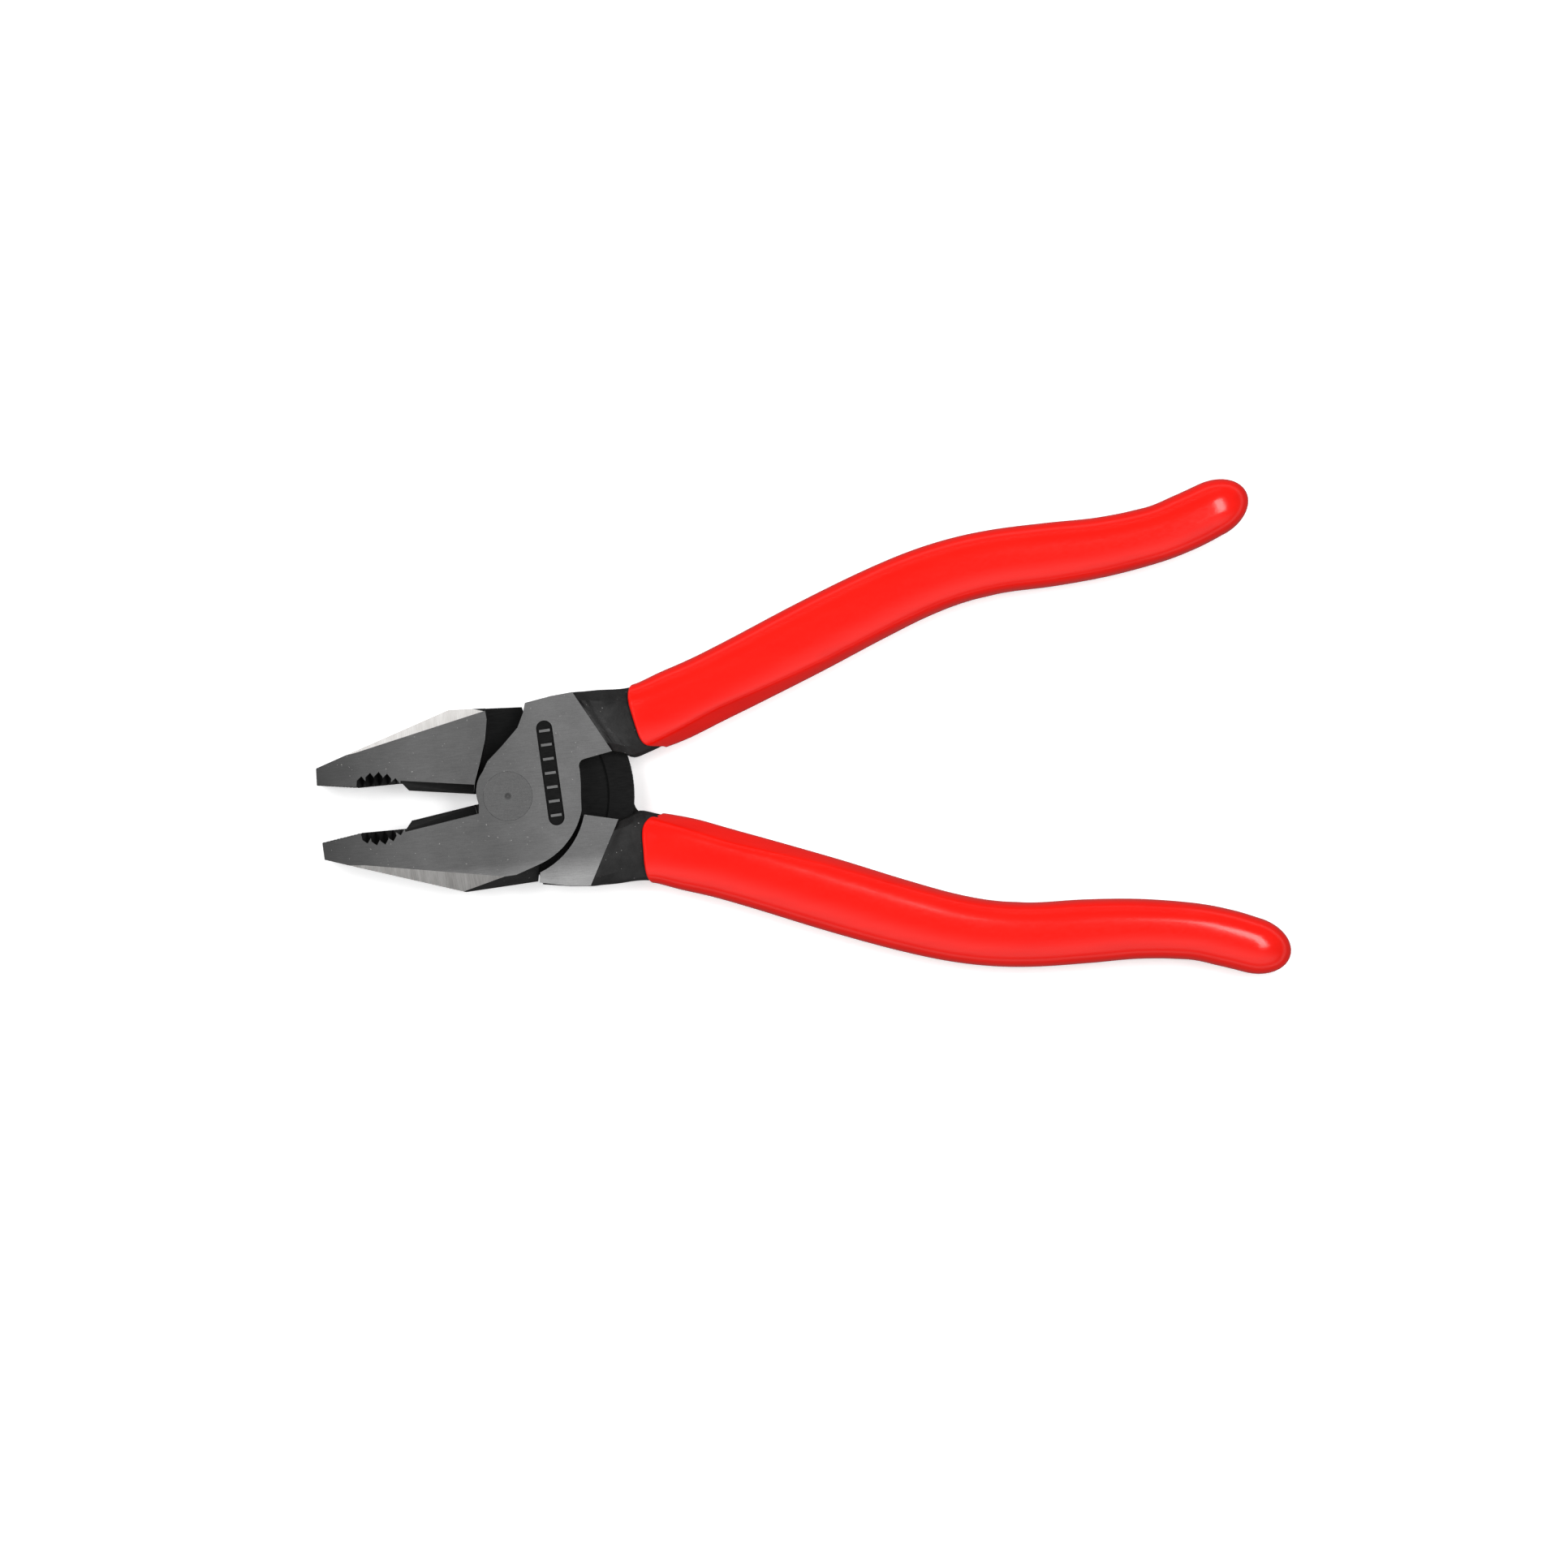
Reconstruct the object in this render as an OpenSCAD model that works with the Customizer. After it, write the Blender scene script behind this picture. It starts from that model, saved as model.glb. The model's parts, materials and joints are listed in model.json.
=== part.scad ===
// Lineman pliers with a lap joint, pipe grip, side cutter and dip-coated handles.
// The origin is on the pivot axis in the ground back face of the head. +X runs along the tool
// to the handles, +Y across it on the side of the front lever's handle, +Z up through the head.
// Every outline is drawn in the closed position, with the jaws meeting on the XZ plane.

/* [Head] */
// Thickness of the head over its two ground faces
head_t = 13; // [12:0.5:14]
// Gap between the two joint plates where they lap
lap_gap = 0.1; // [0.06:0.02:0.2]
// Radius of the round end of a joint plate
plate_r = 17.15; // [17:0.05:17.3]
// Radius of the shoulder that clears the other lever's joint plate
shoulder_r = 18.6; // [18.5:0.1:19]
// Angle that each handle stands away from the tool's axis, 0 when the jaws are closed
open_half = 8.5; // [0:0.5:8.5]

/* [Jaws] */
// Distance from the pivot to the tips
jaw_l = 44; // [43.8:0.1:44.4]
// Gap left between the closed jaws
jaw_gap = 0.1; // [0.06:0.02:0.2]
// Depth of the ground bevel behind each cutting edge, seen from the front
knife_w = 2.2; // [1.8:0.1:2.6]
// Slope of the ground outer facets of the jaws, in degrees from the face
facet_slope = 40; // [35:1:45]
// Number of fine gripping teeth at the tip
tip_teeth = 11; // [9:1:13]
// Depth of the fine gripping teeth
tip_tooth_h = 0.32; // [0.2:0.02:0.4]
// Number of grooves in the pipe grip
pipe_grooves = 5; // [5:1:5]
// Spacing of the grooves in the pipe grip
pipe_pitch = 1.95; // [1.9:0.01:2]
// Depth of the deepest pipe grip groove at the face
pipe_depth = 4; // [3.6:0.1:4.2]

/* [Joint] */
// Radius of the rivet's shank
rivet_r = 4.6; // [4.2:0.1:4.8]
// Radius of the rivet's flush countersunk ends
rivet_head_r = 5.6; // [5.2:0.1:5.8]
// Radial running clearance between the rivet and the front lever
rivet_clear = 0.05; // [0.02:0.01:0.08]
// Radius of the rear lever's web, which closes the space between the handles
web_r = 28.7; // [28.3:0.1:29]
// Radius where the web's raised rim begins
rim_r = 23.1; // [22.9:0.1:23.4]
// Height of the rim above the lapped faces
rim_h = 1; // [0.6:0.1:1.2]

/* [Grips] */
// Thickness of the plastic coating on the handles
coat_t = 1.6; // [1.4:0.1:1.8]
// Thickness of the coating's lip where it starts
lip_t = 0.3; // [0.25:0.05:0.5]
// Distance from the pivot to the front grip's edge
front_dip_x = 32; // [31.6:0.1:32.4]
// Distance from the pivot to the rear grip's edge
rear_dip_x = 31.4; // [31.2:0.1:32]

/* [Marking] */
// Length of the pill-shaped sunk panel on the front lever
panel_l = 24.2; // [22:0.2:25]
// Width of the sunk panel
panel_w = 3.7; // [3.4:0.1:4]
// Depth of the sunk panel
panel_d = 0.6; // [0.4:0.1:0.8]
// Number of plain raised bars in the sunk panel
panel_bars = 7; // [5:1:8]

/* [Hidden] */

$fn = 96;
steel_colour = [0.42, 0.43, 0.42];
rivet_colour = [0.38, 0.39, 0.38];
grip_colour = [0.93, 0.11, 0.08];

mid = head_t / 2;
plate_z = mid + lap_gap / 2;
half_gap = jaw_gap / 2;
spill = 1;
far = 60;

// Jaw outline: stations along X and depths below the meeting plane
tip_flat = 43.5;
pipe_start = -34.6;
pipe_end = -24.4;
pipe_step = 1.6;
knife_start = -23;
knife_end = -7.8;
throat = -6.7;
tip_corner = [-jaw_l - 0.2, -4];
back_corner = [-14.7, -19];
heel = [1.8, -20.6];
jaw_wall = [[-6.4, -19.8], [-5.8, -17.3], [-5.9, -12.7], [-6.8, -7.3], [-7.7, -2.8]];

// Ground facets and drafted sides: an edge line on the face, then its slope.
// The two forgings are ground by hand, so their facets differ a little.
front_facet = [[-41.9, -5.3], [-4.5, -17.85]];
rear_facet = [[-42, -5.5], [-7.2, -18.9]];
front_flank = [[-14.7, -16.7], [1.8, -18.3]];
rear_flank = [[-14.7, -18.35], [1.8, -19.95]];
flank_slope = 60;
heel_line = [[-2.5, -17.9], [4.5, -16.6]];
heel_slope = 62;
taper_line = [[-35.5, 5], [-35.5, -12]];
taper_slope = 4;

// Joint plate outline: the boss round the rivet, the shoulder and the notch at the handle's root
boss_c = [0.6, 1];
boss_r = 7.6;
shoulder_c = [-0.8, 0.8];
notch_c = [19, 2.5];
notch_r = 1.6;
front_tip_x = 9;
rear_tip_x = 8.3;
web_from = -14;
web_to = 30;
web_play = 1.5;
web_back = 1.2;
web_clear = 0.5;
fillet_c = [31.6, 0.6];
fillet_r = 3;

// Stations of the steel arm: [x, y, direction, half width, half thickness, squareness]
arm_stations = [
    [20.4, 12.8, 20, 7.2, 6.4, 8],
    [22.8, 12, 20, 8.1, 6.4, 8],
    [25.2, 11.2, 18, 8.4, 5.6, 5],
    [28, 10.2, 14, 8.8, 5.1, 3.5],
    [32, 9.9, 10, 8, 4.85, 3.2],
    [36, 10.2, 10, 7.5, 4.85, 3],
    [42, 11.2, 11, 6.8, 4.88, 3],
    [60, 15, 13, 6.5, 4.88, 2.8],
    [80, 19.8, 13, 6.6, 4.88, 2.8],
    [100, 24, 9, 6.2, 4.88, 2.8],
    [118, 25.5, 0, 5.8, 4.8, 2.8],
    [138, 23.6, -7, 5.6, 4.7, 2.8],
    [155, 22.5, 2, 5, 4.6, 2.7],
    [168, 24.1, 8, 5, 4.5, 2.6],
    [174.8, 25.1, 9, 5, 4.5, 2.5]
];
first_coated = 5;
last_station = len(arm_stations) - 1;
arm_sides = 20;
arm_steps = 3;
coat_sides = 28;
coat_steps = 4;
lip_l = 5;
side_l = 13;
skew_l = 9;
root_run = 4;
front_aim = 0;
rear_aim = -8;
end_steps = 5;

panel_c = [10.7, 2.85];
panel_angle = 84;
bar_w = 0.6;
dimple_r = 0.8;
dimple_d = 0.7;

// Points on a circle, from angle a0 to angle a1
function arc_points(c, r, a0, a1, n) =
    [for (i = [0 : n]) let (a = a0 + (a1 - a0) * i / n) c + r * [cos(a), sin(a)]];

// Smooth curve through the rows of a table, t counting rows from 0
function row_at(rows, i) = rows[max(0, min(len(rows) - 1, i))];
function smooth(rows, t) =
    let (i = min(floor(t), len(rows) - 2), u = t - i,
         a = row_at(rows, i - 1), b = rows[i], c = rows[i + 1], d = row_at(rows, i + 2))
    0.5 * (2 * b + (c - a) * u + (2 * a - 5 * b + 4 * c - d) * u * u
           + (3 * b - a - 3 * c + d) * u * u * u);

// One ring of a handle: a rounded rectangle square to the handle's direction, grown by
// grow[0] sideways and grow[1] in thickness, turned, scaled and pushed along the handle
function ring(s, sides, grow, turn, scale, push) = [
    for (k = [0 : sides - 1])
        let (a = 360 * k / sides, e = s[5],
             m = scale / pow(pow(abs(cos(a)), e) + pow(abs(sin(a)), e), 1 / e),
             u = (s[3] + grow[0]) * m * cos(a), v = (s[4] + grow[1]) * m * sin(a),
             t = s[2] + turn)
        [s[0] + push * cos(s[2]) - u * sin(t), s[1] + push * sin(s[2]) + u * cos(t), mid + v]
];

// Coating thickness at a distance behind its front edge: slow growth on the narrow sides,
// and a blunt round lip on the broad faces
function clamped(d) = min(1, max(0, d));
function coat_at(d) = let (w = clamped(d / side_l), q = 1 - clamped(d / lip_l))
    [lip_t, lip_t] + (coat_t - lip_t) * [w * w * (3 - 2 * w), sqrt(1 - q * q)];

// Turn that brings the coating's first ring to the dip line's own angle
function dip_turn(d, aim) = aim * pow(1 - clamped(d / skew_l), 2);

function end_angle(k) = 90 * k / end_steps;

function arm_rings() = concat(
    [for (k = [0 : arm_steps * last_station]) ring(smooth(arm_stations, k / arm_steps),
        arm_sides, [0, 0], 0, 1, 0)],
    [for (k = [1 : end_steps]) ring(arm_stations[last_station], arm_sides, [0, 0], 0,
        max(0.05, cos(end_angle(k))), arm_stations[last_station][4] * sin(end_angle(k)))]
);

function coat_rings(dip_x, aim) =
    let (t0 = first_coated - 1 + (dip_x - arm_stations[first_coated - 1][0]) / root_run,
         span = last_station - t0, n = coat_steps * ceil(span))
    concat(
    [for (k = [0 : n])
        let (s = smooth(arm_stations, t0 + span * pow(k / n, 1.25)), d = s[0] - dip_x)
        ring(s, coat_sides, coat_at(d), dip_turn(d, aim - s[2]), 1, 0)],
    [for (k = [1 : end_steps]) ring(arm_stations[last_station], coat_sides, [coat_t, coat_t], 0,
        max(0.05, cos(end_angle(k))),
        (arm_stations[last_station][4] + coat_t) * sin(end_angle(k)))]
);

// Closed solid through a list of rings with the same number of points
module skin(rings) {
    n = len(rings[0]);
    m = len(rings);
    sides = [for (i = [0 : m - 2], k = [0 : n - 1])
        let (a = i * n + k, b = i * n + (k + 1) % n, c = b + n, d = a + n)
        each [[a, c, b], [a, d, c]]];
    caps = [[for (k = [0 : n - 1]) k], [for (k = [n - 1 : -1 : 0]) (m - 1) * n + k]];
    polyhedron([for (r = rings) each r], concat(sides, caps));
}

// Removes all beyond a plane that starts at a line on the front face and slopes down outward.
// The kept side is on the left of the line's direction.
module slope_cut(line, slope) {
    d = line[1] - line[0];
    translate([line[0].x, line[0].y, head_t])
        rotate([0, 0, atan2(d.y, d.x)])
            rotate([slope, 0, 0])
                translate([-far, -far, 0])
                    cube([3 * far, far, far]);
}

// The children on the front face, and again mirrored on the back face
module both_faces() {
    children();
    translate([0, 0, head_t]) mirror([0, 0, 1]) children();
}

// Turns a lever over, so that its joint plate lies behind
module turned_over() {
    translate([0, 0, head_t]) rotate([180, 0, 0]) children();
}

module jaw_outline() {
    pitch = (tip_flat + pipe_start) / tip_teeth;
    teeth = [for (i = [0 : 2 * tip_teeth])
        [-tip_flat + i * pitch / 2, -half_gap - (i % 2) * tip_tooth_h]];
    polygon(concat(
        [[-jaw_l + 0.2, -half_gap - 0.1]],
        teeth,
        [[pipe_end, -pipe_step], [knife_start, -half_gap], [knife_end, -half_gap]],
        [for (i = [len(jaw_wall) - 1 : -1 : 0]) jaw_wall[i]],
        [back_corner, tip_corner]
    ));
}

// One groove of the pipe grip, deepest at the face and running out at the middle of the jaw
module pipe_groove(i) {
    u = (i - (pipe_grooves - 1) / 2) * pipe_pitch;
    x = (pipe_start + pipe_end) / 2 - 0.3 + u;
    face_depth = pipe_depth - 0.08 * u * u;
    mid_depth = pipe_step * (x - pipe_start) / (pipe_end - pipe_start);
    w = pipe_pitch / 2 + 0.005;
    translate([x, -mid_depth, mid])
        rotate([atan2(face_depth - mid_depth, mid), 0, 0])
            linear_extrude(far / 4)
                polygon([[0, 0], [w, 1], [w, 9], [-w, 9], [-w, 1]]);
}

// Bevel that rises from the cutting edge at the middle of the jaw to the face
module knife_bevel(end_x) {
    translate([pipe_end - 0.3, -half_gap, mid])
        rotate([atan2(knife_w, mid), 0, 0])
            cube([end_x - pipe_end + 0.3, far / 6, far / 6]);
}

// Root of the knife, which runs on into the lever's own joint plate
module knife_root() {
    difference() {
        translate([knife_end - 0.5, -knife_w - 0.5, plate_z])
            cube([throat - knife_end + 0.5, knife_w + 0.5 - half_gap, head_t - plate_z]);
        knife_bevel(throat + 1);
    }
}

module jaw() {
    difference() {
        linear_extrude(head_t) jaw_outline();
        both_faces() {
            knife_bevel(knife_end);
            for (i = [0 : pipe_grooves - 1]) pipe_groove(i);
        }
    }
}

module plate_outline() {
    polygon(concat(
        [back_corner, heel, [3.2, -16.9]],
        arc_points([0, 0], plate_r, -78, -25, 18),
        [[16.2, -4], [16.9, -1], [17.4, 2]],
        arc_points(notch_c, notch_r, 180, 93, 6),
        [[25.6, 4.3], [20, 19.6], [15.1, 19.9], [8.9, 19.8], [8, 17.8], [5.9, 14.7],
         [1.3, 11.4], [-2.6, 8.9]],
        arc_points(boss_c, boss_r, 130, 190, 14),
        [[-7.4, -knife_w], [back_corner.x, -knife_w - 1]]
    ));
}

// Shoulder on the far side of the lap, cut round to clear the other lever's plate
module shoulder_outline(tip_x) {
    difference() {
        polygon([[tip_x, 15], [tip_x, 19.3], [15, 19.7], [20, 19.4], [25.5, 3.9], [17, 3.2]]);
        translate(shoulder_c) circle(shoulder_r);
    }
}

// The steel arm, ground off level with the faces of the head
module arm() {
    intersection() {
        skin(arm_rings());
        translate([0, -far, 0]) cube([4 * far, 3 * far, head_t]);
    }
}

// One whole forging in the closed position, with its joint plate in front
module forging(facet, flank, tip_x) {
    union() {
        difference() {
            union() {
                jaw();
                knife_root();
                translate([0, 0, plate_z]) linear_extrude(head_t - plate_z) plate_outline();
            }
            both_faces() {
                slope_cut(facet, facet_slope);
                slope_cut(flank, flank_slope);
                slope_cut(taper_line, taper_slope);
            }
            slope_cut(heel_line, heel_slope);
        }
        linear_extrude(plate_z + spill) shoulder_outline(tip_x);
        arm();
    }
}

// Plan shape between two radii and two angles about the pivot
module sector(r0, r1, a0, a1) {
    difference() {
        intersection() {
            circle(r1);
            polygon([[0, 0], 2 * far * [cos(a0), sin(a0)], 2 * far * [cos(a1), sin(a1)]]);
        }
        circle(r0);
    }
}

// Space in the front lever that the rear lever's web turns in
module web_relief() {
    translate([0, 0, -spill])
        linear_extrude(plate_z + spill)
            sector(rivet_head_r, web_r + web_clear, -60, web_to + web_play);
    linear_extrude(plate_z + rim_h + lap_gap + 0.2)
        sector(rim_r - web_clear, web_r + web_clear, -60, web_to + web_play);
}

module web() {
    translate([0, 0, web_back])
        linear_extrude(mid - lap_gap / 2 - web_back) {
            sector(plate_r - 2, web_r, web_from, web_to);
            difference() {
                polygon([[27, 1], [28.7, 0.6], [30.2, -2], [30.2, -6], [27, -6]]);
                translate(fillet_c) circle(fillet_r);
            }
        }
    translate([0, 0, web_back])
        linear_extrude(mid - lap_gap / 2 - web_back + rim_h)
            sector(rim_r, web_r, web_from, web_to);
}

// Bore through the head with a countersink at each end, larger than the rivet by play
module rivet_shape(play) {
    sink = rivet_head_r - rivet_r;
    cylinder(h = head_t, r = rivet_r + play);
    both_faces()
        translate([0, 0, head_t - sink])
            cylinder(h = sink, r1 = rivet_r + play, r2 = rivet_head_r + play);
}

// Sunk pill-shaped panel with plain raised bars across it
module panel() {
    run = panel_l - panel_w;
    translate([panel_c.x, panel_c.y, head_t - panel_d])
        rotate([0, 0, panel_angle])
            linear_extrude(panel_d + spill)
                difference() {
                    union() {
                        square([run, panel_w], center = true);
                        for (side = [-1, 1]) translate([side * run / 2, 0]) circle(d = panel_w);
                    }
                    for (k = [0 : panel_bars - 1])
                        translate([(k / (panel_bars - 1) - 0.5) * (run - 1), 0])
                            square([bar_w, panel_w - 1.2], center = true);
                }
}

module front_forging() {
    difference() {
        forging(front_facet, front_flank, front_tip_x);
        web_relief();
        translate([0, 0, -spill]) cylinder(h = head_t + 2 * spill, r = rivet_r + rivet_clear);
        rivet_shape(rivet_clear);
        panel();
    }
}

module rear_forging() {
    difference() {
        union() {
            turned_over() forging(rear_facet, rear_flank, rear_tip_x);
            web();
        }
        rivet_shape(0);
    }
}

// Coating of an arm, in the closed position of the front lever
module coating(dip_x, aim) {
    difference() {
        skin(coat_rings(dip_x, aim));
        skin(arm_rings());
    }
}

module front_lever() {
    color(steel_colour) rotate([0, 0, open_half]) front_forging();
}

module rear_lever() {
    color(steel_colour) rotate([0, 0, -open_half]) rear_forging();
}

module joint_rivet() {
    color(rivet_colour)
        rotate([0, 0, -open_half])
            difference() {
                rivet_shape(0);
                translate([0, 0, head_t - dimple_d]) cylinder(h = dimple_d, r1 = 0.2, r2 = dimple_r);
            }
}

module front_grip() {
    color(grip_colour) rotate([0, 0, open_half]) coating(front_dip_x, front_aim);
}

module rear_grip() {
    color(grip_colour) rotate([0, 0, -open_half]) turned_over() coating(rear_dip_x, rear_aim);
}

front_lever();
rear_lever();
joint_rivet();
front_grip();
rear_grip();
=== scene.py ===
import json
import math

import bmesh
import bpy
import numpy as np
from mathutils import Matrix, Vector


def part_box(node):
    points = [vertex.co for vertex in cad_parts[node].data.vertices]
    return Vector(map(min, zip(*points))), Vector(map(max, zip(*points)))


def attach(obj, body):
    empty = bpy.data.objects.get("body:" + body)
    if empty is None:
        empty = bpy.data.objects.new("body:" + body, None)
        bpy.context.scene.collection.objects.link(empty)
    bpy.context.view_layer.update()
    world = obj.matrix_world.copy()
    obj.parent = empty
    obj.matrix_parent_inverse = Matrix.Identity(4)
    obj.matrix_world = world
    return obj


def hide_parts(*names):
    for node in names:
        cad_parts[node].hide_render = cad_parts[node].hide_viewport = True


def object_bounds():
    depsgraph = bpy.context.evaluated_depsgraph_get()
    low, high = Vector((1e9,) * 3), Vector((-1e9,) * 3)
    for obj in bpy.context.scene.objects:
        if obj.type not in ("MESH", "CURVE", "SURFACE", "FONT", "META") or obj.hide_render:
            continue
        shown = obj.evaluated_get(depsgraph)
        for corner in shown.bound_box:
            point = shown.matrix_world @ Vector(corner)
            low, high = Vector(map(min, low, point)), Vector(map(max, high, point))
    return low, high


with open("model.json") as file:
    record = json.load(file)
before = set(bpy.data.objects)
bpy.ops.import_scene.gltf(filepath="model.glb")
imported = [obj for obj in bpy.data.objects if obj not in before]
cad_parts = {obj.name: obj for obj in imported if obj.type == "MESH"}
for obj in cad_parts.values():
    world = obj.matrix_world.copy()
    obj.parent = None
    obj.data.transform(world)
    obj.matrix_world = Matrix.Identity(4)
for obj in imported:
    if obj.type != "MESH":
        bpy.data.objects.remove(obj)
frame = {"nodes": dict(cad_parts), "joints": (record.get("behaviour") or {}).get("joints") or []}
cad_low, cad_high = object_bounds()

# ---------------------------------------------------------------- driving values
MM = 0.001
HEAD_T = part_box("joint_rivet")[1].z / MM        # thickness over the ground faces
MID = HEAD_T / 2
OPEN_HALF = -math.radians(frame["joints"][0]["range_deg"][0]) / 2

FRAME_W = 0.36                                  # width seen by the camera
CAMERA_UP = 1.5                                 # camera height over the middle of the head
FLOOR_HALF = 3.0
TOOL_TILT = math.radians(5.45)                  # the tool's axis rises to the right in the view
VIEW_CENTRE = (0.0631, -0.0032)
CEILING, HORIZON, SOFT_SIDE = 0.16, 0.8, 0.8    # brightness of the surroundings

# Where the painted shade and painted light on the ground faces change, in millimetres
JAW_TIP_X, ARM_X = -44, 24
HEEL_PAINTED_LIGHT_FROM_Y, HEEL_PAINTED_LIGHT_TO_Y = -15, -20


# ---------------------------------------------------------------- node helpers
class Nodes:
    """A material's node tree, with short calls to add and wire nodes."""

    def __init__(self, name):
        self.material = bpy.data.materials.new(name)
        self.material.use_nodes = True
        self.tree = self.material.node_tree
        self.shader = self.tree.nodes["Principled BSDF"]

    def add(self, kind, **settings):
        node = self.tree.nodes.new(kind)
        for key, value in settings.items():
            if key in node.inputs:
                node.inputs[key].default_value = value
            else:
                setattr(node, key, value)
        return node

    def link(self, source, target):
        self.tree.links.new(source, target)

    def place(self, scale=(1, 1, 1), turn=(0, 0, 0)):
        """Position on the piece at rest, in millimetres, turned and scaled."""
        coords = self.add("ShaderNodeTexCoord")
        mapping = self.add("ShaderNodeMapping")
        mapping.inputs["Scale"].default_value = [s / MM for s in scale]
        mapping.inputs["Rotation"].default_value = turn
        self.link(coords.outputs["Object"], mapping.inputs["Vector"])
        return mapping.outputs["Vector"]

    def noise(self, vector, scale, detail=3, rough=0.5):
        node = self.add("ShaderNodeTexNoise", Scale=scale, Detail=detail, Roughness=rough)
        self.link(vector, node.inputs["Vector"])
        return node.outputs["Fac"]

    def ramp(self, value, stops):
        node = self.add("ShaderNodeValToRGB")
        elements = node.color_ramp.elements
        while len(elements) < len(stops):
            elements.new(0.5)
        for element, (at, colour) in zip(elements, stops):
            element.position = at
            element.color = (*colour, 1)
        self.link(value, node.inputs["Fac"])
        return node.outputs["Color"]

    def along(self, axis, start, end, stops):
        """Ramp over a stretch of one axis, in millimetres."""
        split = self.add("ShaderNodeSeparateXYZ")
        self.link(self.place(), split.inputs["Vector"])
        reach = self.add("ShaderNodeMapRange", **{"From Min": start, "From Max": end})
        self.link(split.outputs[axis], reach.inputs["Value"])
        return self.ramp(reach.outputs["Result"], stops)

    def bump(self, height, depth, strength=1.0, under=None):
        """Bump with a depth in millimetres."""
        node = self.add("ShaderNodeBump", Strength=strength, Distance=depth * MM)
        self.link(height, node.inputs["Height"])
        if under is not None:
            self.link(under, node.inputs["Normal"])
        return node.outputs["Normal"]

    def mix(self, fac, a, b, mode="MIX"):
        node = self.add("ShaderNodeMix", data_type="RGBA", blend_type=mode)
        for value, socket in ((fac, node.inputs[0]), (a, node.inputs[6]), (b, node.inputs[7])):
            if hasattr(value, "is_linked"):
                self.link(value, socket)
            elif socket.type == "VALUE":
                socket.default_value = value
            else:
                socket.default_value = (*value, 1)
        return node.outputs[2]

    def to_shader(self, **sockets):
        for name, value in sockets.items():
            socket = self.shader.inputs[name.replace("_", " ")]
            if hasattr(value, "is_linked"):
                self.link(value, socket)
            else:
                socket.default_value = value
        return self.material


def grey(v, warm=0.0):
    return (v * (1 + warm), v, v * (1 - warm))


# ---------------------------------------------------------------- materials
def grinding(n):
    """Grain and streaks of a ground face, and the bump that they make."""
    grain = n.noise(n.place(), 5.5, 4, 0.7)
    streak = n.noise(n.place((0.35, 5, 1)), 1.2, 3, 0.6)
    return grain, streak, n.bump(streak, 0.012, 0.5, n.bump(grain, 0.01, 0.6))


def ground_steel():
    """Fine-ground, blackened face: mid grey with a tight grain, specks and a few scratches, with
    painted shade towards the jaws' tips and painted light along the head's lower edge.
    """
    n = Nodes("ground_steel")
    grain, streak, normal = grinding(n)
    blotch = n.noise(n.place(), 0.16, 3, 0.55)
    base = n.ramp(blotch, [(0.3, grey(0.157)), (0.7, grey(0.197))])
    base = n.mix(0.25, base, n.ramp(grain, [(0.35, grey(0.108)), (0.65, grey(0.265))]))
    base = n.mix(0.12, base, n.ramp(streak, [(0.4, grey(0.101)), (0.6, grey(0.301))]))
    # painted shade: darkest at the jaws' tips, palest towards the handles
    reach = n.along("X", JAW_TIP_X, ARM_X, [(0, grey(0.40)), (0.12, grey(0.60)), (0.35, grey(0.93)),
                                            (0.57, grey(0.80)), (0.8, grey(1.12))])
    base = n.mix(1, base, reach, "MULTIPLY")
    # painted light: the ground faces are painted brighter towards the head's lower edge
    heel_painted_light = n.along("Y", HEEL_PAINTED_LIGHT_FROM_Y, HEEL_PAINTED_LIGHT_TO_Y, [(0, grey(0.76)), (1, grey(1.7))])
    base = n.mix(1, base, heel_painted_light, "MULTIPLY")
    speck = n.ramp(n.noise(n.place(), 1.9, 2, 0.4), [(0.73, (0, 0, 0)), (0.76, (1, 1, 1))])
    base = n.mix(speck, base, grey(0.3, 0.02))
    rough = n.ramp(grain, [(0.3, grey(0.42)), (0.7, grey(0.56))])
    return n.to_shader(Base_Color=base, Roughness=rough, Metallic=0.35, Normal=normal)


def facet_steel(name, turn, low, high):
    """Bright freshly ground facet with fine lines across it."""
    n = Nodes(name)
    lines = n.noise(n.place((6, 0.25, 0.25), (0, 0, turn)), 1.0, 4, 0.65)
    wide = n.noise(n.place((0.7, 0.05, 0.05), (0, 0, turn)), 1.0, 2, 0.5)
    base = n.ramp(lines, [(0.36, grey(low, 0.03)), (0.64, grey(high, 0.02))])
    base = n.mix(0.4, base, n.ramp(wide, [(0.35, grey(low, 0.04)), (0.65, grey(high, 0.02))]))
    rough = n.ramp(lines, [(0.3, grey(0.34)), (0.7, grey(0.5))])
    normal = n.bump(lines, 0.02, 0.6)
    return n.to_shader(Base_Color=base, Roughness=rough, Metallic=0.1, Normal=normal)


def forged_steel():
    """Blackened forging skin: dark, slightly uneven, with small pits."""
    n = Nodes("forged_steel")
    lump = n.noise(n.place(), 0.35, 3, 0.55)
    skin = n.noise(n.place(), 2.6, 4, 0.6)
    base = n.ramp(skin, [(0.3, grey(0.010)), (0.7, grey(0.022))])
    base = n.mix(0.35, base, n.ramp(lump, [(0.35, grey(0.008)), (0.65, grey(0.028))]))
    speck = n.ramp(n.noise(n.place(), 1.6, 2, 0.4), [(0.74, (0, 0, 0)), (0.77, (1, 1, 1))])
    base = n.mix(speck, base, grey(0.2, 0.02))
    rough = n.ramp(skin, [(0.3, grey(0.45)), (0.7, grey(0.62))])
    normal = n.bump(skin, 0.05, 0.5, n.bump(lump, 0.25, 0.5))
    return n.to_shader(Base_Color=base, Roughness=rough, Metallic=0.3, Specular_IOR_Level=0.35,
                       Normal=normal)


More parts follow.
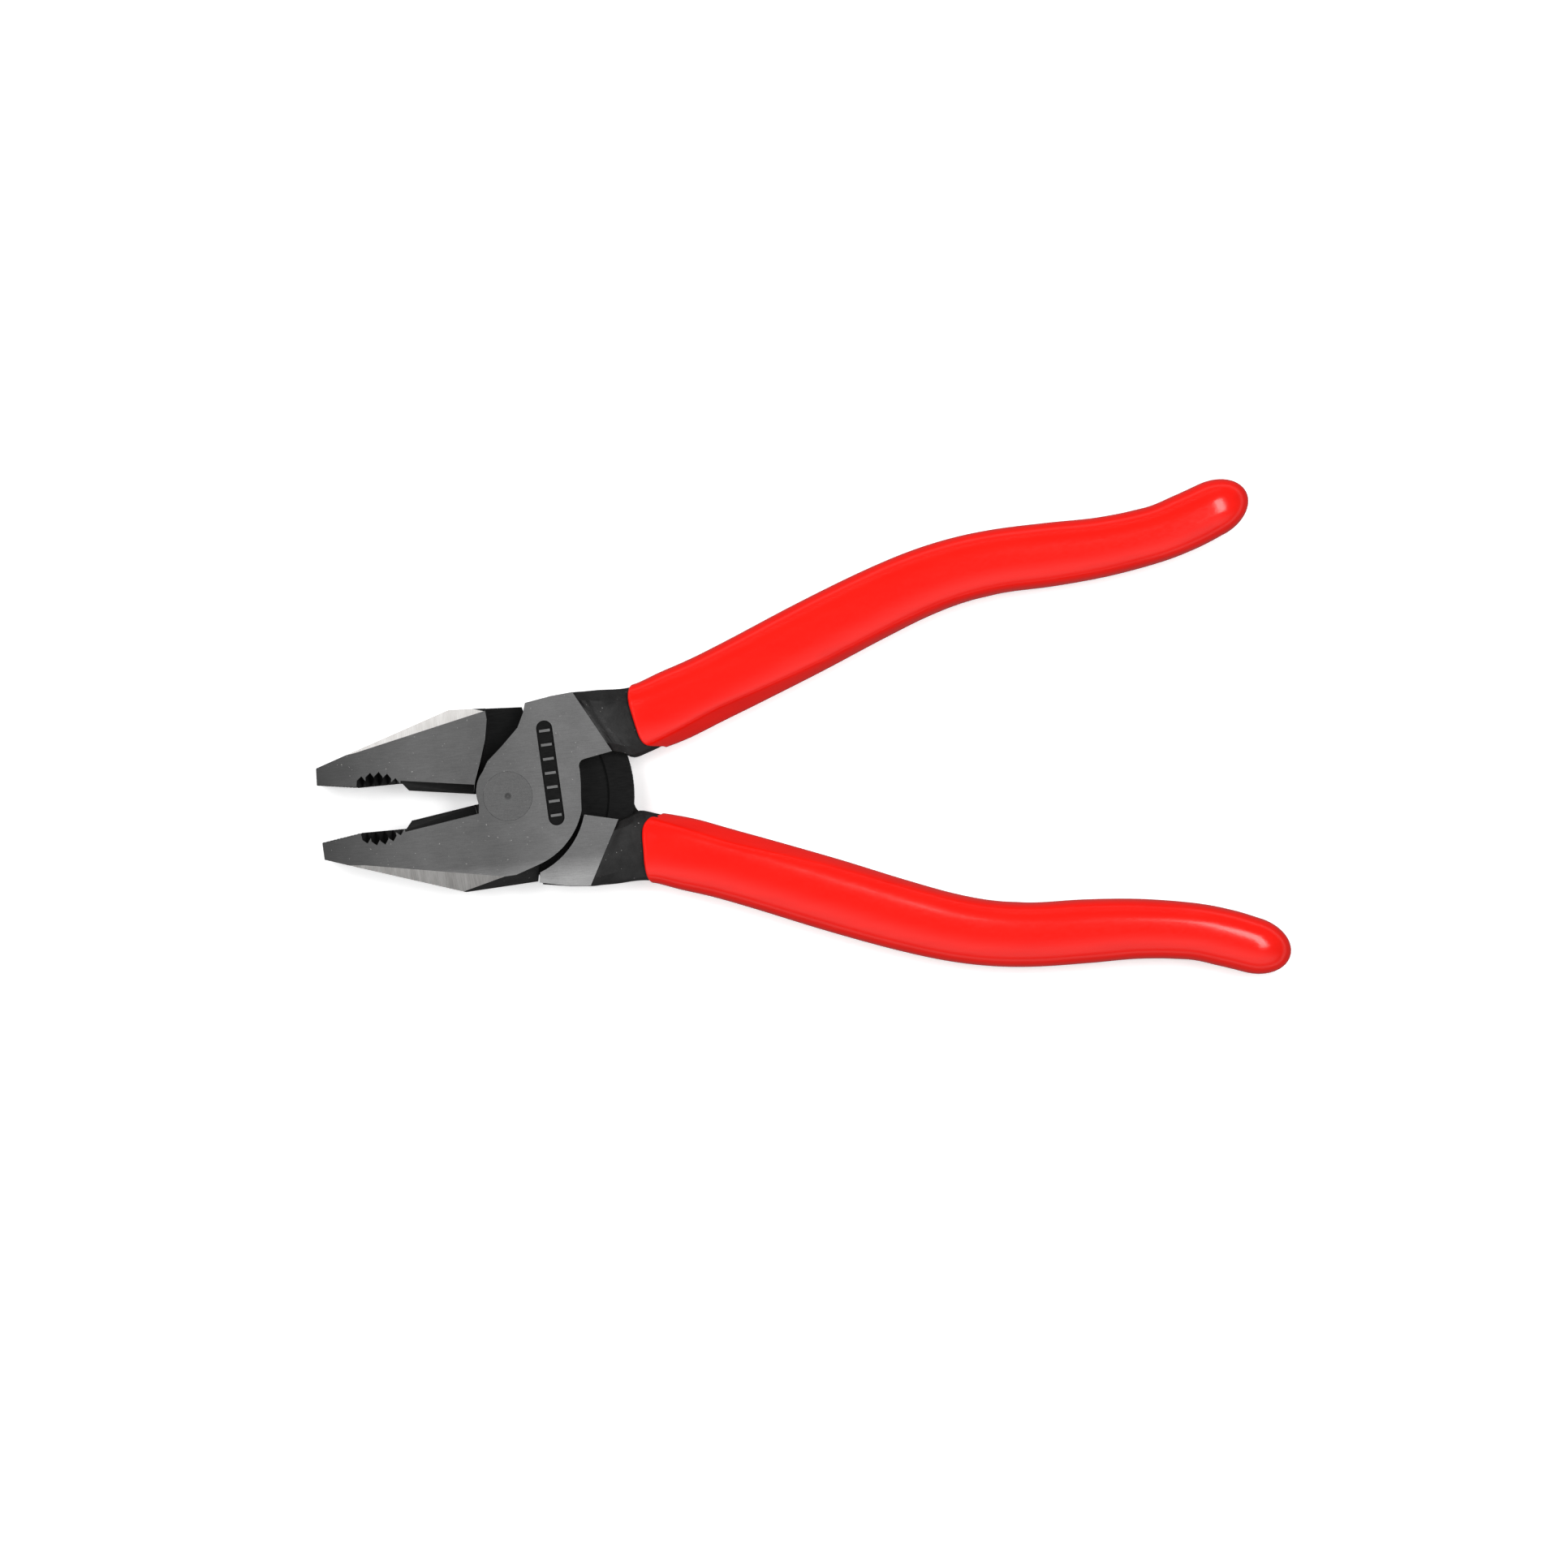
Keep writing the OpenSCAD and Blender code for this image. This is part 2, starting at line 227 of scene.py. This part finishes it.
def near_black_steel_painted_shade(name, gloss):
    """Oiled, machined inner face or groove, painted near black: painted shade of the hollows, the
    inner walls and the gap between the halves.
    """
    n = Nodes(name)
    lines = n.noise(n.place((0.4, 4, 0.4)), 1.4, 3, 0.6)
    # the near-black base, and the low gloss given for the grooves, are painted shade
    base = n.ramp(lines, [(0.3, grey(0.002)), (0.7, grey(0.006))])
    rough = n.ramp(lines, [(0.3, grey(0.32)), (0.7, grey(0.46))])
    normal = n.bump(lines, 0.015, 0.5)
    return n.to_shader(Base_Color=base, Roughness=rough, Metallic=0.1, Specular_IOR_Level=gloss,
                       Normal=normal)


def rivet_steel():
    """Rivet end ground with the head."""
    n = Nodes("rivet_steel")
    grain, streak, normal = grinding(n)
    base = n.ramp(grain, [(0.35, grey(0.096)), (0.65, grey(0.146))])
    base = n.mix(0.12, base, n.ramp(streak, [(0.4, grey(0.05)), (0.6, grey(0.17))]))
    rough = n.ramp(grain, [(0.3, grey(0.42)), (0.7, grey(0.54))])
    return n.to_shader(Base_Color=base, Roughness=rough, Metallic=0.35, Normal=normal)


def grip_plastic():
    """Glossy dipped plastic: saturated red, slow thickness waves, faint haze."""
    n = Nodes("grip_plastic")
    wave = n.noise(n.place((0.05, 0.3, 0.3)), 1.0, 2, 0.5)
    haze = n.noise(n.place(), 1.3, 3, 0.6)
    base = n.ramp(wave, [(0.3, (0.86, 0.007, 0.003)), (0.7, (0.92, 0.009, 0.004))])
    rough = n.ramp(haze, [(0.3, grey(0.16)), (0.7, grey(0.24))])
    normal = n.bump(haze, 0.006, 0.4, n.bump(wave, 0.12, 0.35))
    return n.to_shader(Base_Color=base, Roughness=rough, Normal=normal, IOR=1.46)


# ---------------------------------------------------------------- levers
GROUND, FACET, FORGED, PAINTED_SHADE_INNER, PAINTED_SHADE_PIPE_TEETH = range(5)
EDGE_ROUND = 0.10                               # radius left on the steel's edges
# the rear lever's facets are painted brighter and the front lever's darker: painted light and
# painted shade on two copies of one facet finish
FACET_PAINTED_LIGHT_GREY = {"front_lever": (0.26, 0.48), "rear_lever": (0.57, 0.79)}
MERGE = 2e-6                                    # corners closer than this are one corner, in metres
FLAT, CREASE, ROUNDED = math.radians(0.4), math.radians(24), math.radians(38)

# Regions of a lever in its closed frame, in millimetres
SKIN = 0.05                                     # depth over which a face is on the ground plane
TAPER_X, TAPER_DEPTH = -35, 0.7                 # the jaw thins towards its tip from here
FACETS_X = -3
PIPE_X, PIPE_Y = (-35.5, -24.4), (-4.5, -0.1)
JAW_X, JAW_Y = -7, -7
WEB_X, WEB_Y, WEB_DEPTH = (14, 31), 5, 0.6
LAP_Z = (5, 8.2)
PANEL_DEPTH = (0.1, 1)


def closed_frame(side, point, normal):
    """Point in millimetres and normal, in the front lever's closed frame."""
    turn = Matrix.Rotation(-side * OPEN_HALF, 3, "Z")
    p, q = turn @ (point / MM), turn @ normal
    if side < 0:
        p, q = Vector((p.x, -p.y, HEAD_T - p.z)), Vector((q.x, -q.y, -q.z))
    return p, q


def finish_of(p, q):
    """Which finish a face has, from where it is and where it looks."""
    tilt = abs(q.z)
    depth = min(p.z, HEAD_T - p.z)
    if tilt > 0.995 and (depth < SKIN or (p.x < TAPER_X and depth < TAPER_DEPTH)):
        return GROUND
    if 0.7 < tilt < 0.83 and p.x < FACETS_X and q.y < -0.3:
        return FACET
    # groove walls of the pipe grip: near-black finish with little gloss, painted shade
    if PIPE_X[0] < p.x < PIPE_X[1] and PIPE_Y[0] < p.y < PIPE_Y[1] and 0.1 < tilt < 0.97:
        return PAINTED_SHADE_PIPE_TEETH
    # jaws' inner walls, web recess, lap faces and panel recess: near-black finish, painted shade
    jaw_inside = p.x < JAW_X and p.y > JAW_Y and (tilt < 0.5 or tilt > 0.9 or q.y > 0)
    web = tilt > 0.9 and WEB_X[0] < p.x < WEB_X[1] and p.y < WEB_Y and depth > WEB_DEPTH
    lap = tilt > 0.99 and LAP_Z[0] < p.z < LAP_Z[1]
    panel = tilt > 0.9 and PANEL_DEPTH[0] < HEAD_T - p.z < PANEL_DEPTH[1]
    return PAINTED_SHADE_INNER if jaw_inside or web or lap or panel else FORGED


def lever_piece(node, side, materials):
    """The CAD lever with each face given its own finish."""
    piece = bpy.data.objects.new(node + "_steel", frame["nodes"][node].data.copy())
    bpy.context.scene.collection.objects.link(piece)
    mesh = piece.data
    mesh.materials.clear()
    for material in materials:
        mesh.materials.append(material)
    bm = bmesh.new()
    bm.from_mesh(mesh)
    bmesh.ops.remove_doubles(bm, verts=bm.verts, dist=MERGE)
    bmesh.ops.dissolve_limit(bm, angle_limit=FLAT, verts=bm.verts, edges=bm.edges)
    for face in bm.faces:
        face.normal_update()
        p, q = closed_frame(side, face.calc_center_median(), face.normal)
        face.material_index = finish_of(p, q)
        face.smooth = True
    for edge in bm.edges:
        sharp = edge.is_manifold and edge.calc_face_angle(0) > CREASE
        edge.smooth = not sharp
    bm.to_mesh(mesh)
    bm.free()
    soften = piece.modifiers.new("edges", "BEVEL")
    soften.width = EDGE_ROUND * MM
    soften.segments = 2
    soften.limit_method = "ANGLE"
    soften.angle_limit = ROUNDED
    soften.harden_normals = True
    return piece


# ---------------------------------------------------------------- grips
# Stations of the coating in the closed frame: x, y, half width, half thickness, squareness,
# and how far out the slanted flank starts on the inner side
COAT = [
    (32.0, 9.9, 8.15, 6.05, 3.2, 0.72),
    (36.0, 10.15, 8.1, 6.38, 3.0, 0.62),
    (42.0, 11.15, 8.3, 6.45, 2.8, 0.54),
    (50.0, 12.75, 8.1, 6.45, 2.6, 0.50),
    (60.0, 15.0, 8.15, 6.45, 2.5, 0.56),
    (75.0, 18.6, 8.3, 6.45, 2.4, 0.66),
    (90.0, 22.15, 8.1, 6.45, 2.4, 0.72),
    (102.0, 24.5, 7.8, 6.42, 2.4, 0.76),
    (112.0, 25.5, 7.55, 6.38, 2.4, 0.80),
    (122.0, 25.3, 7.4, 6.35, 2.4, 0.80),
    (134.0, 23.9, 7.35, 6.3, 2.35, 0.80),
    (146.0, 22.7, 6.9, 6.25, 2.3, 0.80),
    (158.0, 22.6, 6.55, 6.2, 2.3, 0.80),
    (166.0, 23.7, 6.6, 6.15, 2.25, 0.85),
    (172.0, 25.0, 6.45, 6.05, 2.2, 0.90),
]
TABLE_ROWS = 600
NOSE = 9.3                                      # length of the rounded end
RING, STEPS, CAP_STEPS, LIP_STEPS = 72, 190, 14, 8
STEP_GROWTH = 1.25                              # rings stand closer together near the lip
WALL, LIP_WALL, LIP_SHELF = 1.5, 1.2, 0.35      # depth of the sleeve inside the coating's surface
LIP = 0.7                                       # radius of the lip
LAG_INNER, LAG_OUTER, LAG_SHARPNESS = 4.2, 1.6, 7
DIP_HALF_W = 8                                  # half width over which the dip line slants
FLANK_EDGE = 30                                 # higher is a crisper edge along the flank
FLANK_OUT = 1.04                                # where the flank would meet the mid-plane
FLANK_HIGH = 0.97                               # share of the half thickness at the flank's top
INNER_SQUARE = 2.6                              # the inner side is rounder than the outer one


def spline(rows, t):
    """Smooth curve through the rows of a table, t counting rows from 0."""
    i = min(int(t), len(rows) - 2)
    u = t - i
    a, b = rows[max(i - 1, 0)], rows[i]
    c, d = rows[i + 1], rows[min(i + 2, len(rows) - 1)]
    return 0.5 * (2 * b + (c - a) * u + (2 * a - 5 * b + 4 * c - d) * u ** 2
                  + (3 * b - a - 3 * c + d) * u ** 3)


def coat_table():
    """Fine table along the coating: the length so far, the columns of COAT, and the direction."""
    rows = np.array(COAT)
    fine = np.array([spline(rows, t) for t in np.linspace(0, len(rows) - 1, TABLE_ROWS)])
    run = np.gradient(fine[:, :2], axis=0)
    length = np.concatenate([[0], np.cumsum(np.hypot(*np.diff(fine[:, :2], axis=0).T))])
    return np.column_stack([length, fine, np.arctan2(run[:, 1], run[:, 0])])


def grip_piece(node, side, dip_shift, aim):
    """Dipped coating: a smooth sleeve with a round lip, shut round the handle's end."""
    table = coat_table()
    total = table[-1, 0]
    around = np.linspace(0, 2 * math.pi, RING, endpoint=False)
    across, up = np.cos(around), np.sin(around)
    # the lip runs back along both narrow sides, further on the inner one
    lag = np.where(across < 0, LAG_INNER, LAG_OUTER) * np.abs(across) ** LAG_SHARPNESS
    edge = dip_shift + lag - np.tan(aim) * across * DIP_HALF_W

    def ring(s, inset, grow, push=0.0):
        at = [np.interp(np.clip(s, 0, total), table[:, 0], table[:, k]) for k in range(1, 8)]
        x, y, half_w, half_t, square, flank, way = at
        back = np.minimum(s, 0)
        a, b = half_w - inset, half_t - inset
        square = np.where(across < 0, np.minimum(square, INNER_SQUARE), square)
        m = (np.abs(across / a) ** square + np.abs(up / b) ** square) ** (-1 / square)
        high = FLANK_HIGH * b
        flat = high * a * FLANK_OUT / (np.abs(across) * high + np.abs(up) * a * (1 - flank))
        inner = (m ** -FLANK_EDGE + flat ** -FLANK_EDGE) ** (-1 / FLANK_EDGE)
        full = a * (1 + FLANK_OUT ** -FLANK_EDGE) ** (-1 / FLANK_EDGE)
        u = grow * across * np.where(across < 0, inner * a / full, m)
        v = grow * up * np.where(across < 0, inner, m)
        forward = push + back
        return np.column_stack([x + forward * np.cos(way) - u * np.sin(way),
                                y + forward * np.sin(way) + u * np.cos(way), MID + v])

    sleeve_end = total - 4
    rings = []
    for s in (sleeve_end, total * 0.75, total * 0.5, total * 0.25, 12):
        rings.append(ring(np.full(RING, s), WALL, 1))
    rings.append(ring(edge + 2, LIP_WALL, 1))
    rings.append(ring(edge + 0.3, LIP + LIP_SHELF, 1))
    for q in np.linspace(0, math.pi / 2, LIP_STEPS):
        rings.append(ring(edge + LIP * (1 - math.cos(q)), LIP * (1 - math.sin(q)), 1))
    for k in range(1, STEPS):
        start = edge + LIP
        rings.append(ring(start + (total - start) * (k / STEPS) ** STEP_GROWTH, 0, 1))
    for k in range(CAP_STEPS):
        q = math.pi / 2 * k / CAP_STEPS
        rings.append(ring(np.full(RING, total), 0, math.cos(q), NOSE * math.sin(q)))
    tip = ring(np.full(RING, total), 0, 0, NOSE)[0]
    root = ring(np.full(RING, sleeve_end), 0, 0)[0]

    points = np.vstack(rings + [tip[None], root[None]])
    if side < 0:
        points = points * [1, -1, -1] + [0, 0, HEAD_T]
    c, s = math.cos(side * OPEN_HALF), math.sin(side * OPEN_HALF)
    points = np.column_stack([points[:, 0] * c - points[:, 1] * s,
                              points[:, 0] * s + points[:, 1] * c, points[:, 2]]) * MM
    count = len(rings)
    faces = [(i * RING + k, i * RING + (k + 1) % RING, (i + 1) * RING + (k + 1) % RING,
              (i + 1) * RING + k) for i in range(count - 1) for k in range(RING)]
    last = (count - 1) * RING
    faces += [(last + k, last + (k + 1) % RING, count * RING) for k in range(RING)]
    faces += [((k + 1) % RING, k, count * RING + 1) for k in range(RING)]
    mesh = bpy.data.meshes.new(node + "_coating")
    mesh.from_pydata([tuple(p) for p in points], [], faces)
    bm = bmesh.new()
    bm.from_mesh(mesh)
    bmesh.ops.recalc_face_normals(bm, faces=bm.faces)
    for face in bm.faces:
        face.smooth = True
    bm.to_mesh(mesh)
    bm.free()
    piece = bpy.data.objects.new(node + "_coating", mesh)
    bpy.context.scene.collection.objects.link(piece)
    return piece


# ---------------------------------------------------------------- build
ground, forged = ground_steel(), forged_steel()
# near-black finishes: painted shade in the hollows and between the halves
machined, groove = near_black_steel_painted_shade("near_black_steel_painted_shade", 0.25), near_black_steel_painted_shade("groove_near_black_steel_painted_shade", 0.06)
for node, body, side in (("front_lever", "front_half", 1), ("rear_lever", "rear_half", -1)):
    # each lever gets its own copy of the facet finish, with its painted light and shade
    facet = facet_steel(body + "_facet_steel_painted_light_and_shade", math.radians(20) * side, *FACET_PAINTED_LIGHT_GREY[node])
    piece = lever_piece(node, side, [ground, facet, forged, machined, groove])
    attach(piece, body)
    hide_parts(node)

plastic = grip_plastic()
for node, body, side, shift, aim in (("front_grip", "front_half", 1, 0.0, 0.0),
                                     ("rear_grip", "rear_half", -1, -0.6, math.radians(-8))):
    piece = grip_piece(node, side, shift, aim)
    piece.data.materials.append(plastic)
    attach(piece, body)
    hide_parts(node)

rivet = frame["nodes"]["joint_rivet"]
rivet.data.materials.clear()
rivet.data.materials.append(rivet_steel())


# ---------------------------------------------------------------- stage, light and camera
def soft_light(name, azimuth, elevation, distance, size, power):
    """Rectangular soft light, placed by its bearing from the middle of the view."""
    light = bpy.data.lights.new(name, "AREA")
    light.shape = "RECTANGLE"
    light.size, light.size_y = size
    light.energy = power
    lamp = bpy.data.objects.new(name, light)
    bpy.context.scene.collection.objects.link(lamp)
    az, el = math.radians(azimuth) - TOOL_TILT, math.radians(elevation)
    way = Vector((math.cos(az) * math.cos(el), math.sin(az) * math.cos(el), math.sin(el)))
    lamp.location = Vector((*VIEW_CENTRE, 0)) + way * distance
    lamp.rotation_euler = (-way).to_track_quat("-Z", "Y").to_euler()
    return lamp


def set_stage():
    # the floor gives no reflections or bounced light, so that the grips' rims stay dark
    mesh = bpy.data.meshes.new("floor")
    half = FLOOR_HALF
    mesh.from_pydata([(-half, -half, 0), (half, -half, 0), (half, half, 0), (-half, half, 0)],
                     [], [(0, 1, 2, 3)])
    floor = bpy.data.objects.new("floor", mesh)
    floor.location.z = cad_low.z
    bpy.context.scene.collection.objects.link(floor)
    n = Nodes("pale_floor")
    mesh.materials.append(n.to_shader(Base_Color=(0.9, 0.9, 0.9, 1), Roughness=0.8,
                                      Emission_Color=(1, 1, 1, 1), Emission_Strength=0.42))
    floor.visible_glossy = floor.visible_diffuse = False

    set_world()
    # the keys stand in line with the tool, and only the right one reflects, so that the long
    # grips show no hot line
    soft_light("key_right", 24, 62, 1.0, (0.60, 0.28), 4.6)
    soft_light("key_left", 160, 58, 1.0, (0.45, 0.45), 4.1).visible_glossy = False
    soft_light("back", 105, 26, 1.0, (1.2, 0.3), 4.0).visible_glossy = False


def set_world():
    """Studio surroundings: dim ceiling and ground, pale horizon, one broad soft side."""
    world = bpy.data.worlds.new("studio")
    world.use_nodes = True
    tree = world.node_tree

    def ramp(value, stops):
        node = tree.nodes.new("ShaderNodeValToRGB")
        while len(node.color_ramp.elements) < len(stops):
            node.color_ramp.elements.new(0.5)
        for element, (at, level) in zip(node.color_ramp.elements, stops):
            element.position = (at + 1) / 2
            element.color = (*grey(level), 1)
        tree.links.new(value, node.inputs["Fac"])
        return node.outputs["Color"]

    def half(direction):
        node = tree.nodes.new("ShaderNodeVectorMath")
        node.operation = "DOT_PRODUCT"
        node.inputs[1].default_value = [0.5 * c for c in direction]
        tree.links.new(coords.outputs["Generated"], node.inputs[0])
        shift = tree.nodes.new("ShaderNodeMath")
        shift.operation = "ADD"
        shift.inputs[1].default_value = 0.5
        tree.links.new(node.outputs["Value"], shift.inputs[0])
        return shift.outputs["Value"]

    coords = tree.nodes.new("ShaderNodeTexCoord")
    az = math.radians(-100) - TOOL_TILT
    height = ramp(half((0, 0, 1)), [(-0.14, CEILING), (-0.05, HORIZON), (0.06, HORIZON),
                                    (0.20, CEILING)])
    side = ramp(half((math.cos(az), math.sin(az), 0)), [(0.05, 0.0), (0.55, SOFT_SIDE)])
    floor_gate = ramp(half((0, 0, 1)), [(0.25, 0.0), (0.45, 1.0)])
    lit = tree.nodes.new("ShaderNodeMix")
    lit.data_type, lit.blend_type = "RGBA", "MULTIPLY"
    lit.inputs[0].default_value = 1
    tree.links.new(side, lit.inputs[6])
    tree.links.new(floor_gate, lit.inputs[7])
    total = tree.nodes.new("ShaderNodeMix")
    total.data_type, total.blend_type = "RGBA", "ADD"
    total.inputs[0].default_value = 1
    tree.links.new(height, total.inputs[6])
    tree.links.new(lit.outputs[2], total.inputs[7])
    tree.links.new(total.outputs[2], tree.nodes["Background"].inputs["Color"])
    bpy.context.scene.world = world
    # keeps the grips' red saturated
    bpy.context.scene.view_settings.view_transform = "Standard"


def set_camera():
    camera = bpy.data.cameras.new("camera")
    camera.sensor_width = 36
    camera.lens = camera.sensor_width * CAMERA_UP / FRAME_W
    camera.clip_end = 20
    holder = bpy.data.objects.new("camera", camera)
    holder.location = (*VIEW_CENTRE, CAMERA_UP + MID * MM)
    holder.rotation_euler = (0, 0, -TOOL_TILT)
    bpy.context.scene.collection.objects.link(holder)
    bpy.context.scene.camera = holder


set_stage()
set_camera()
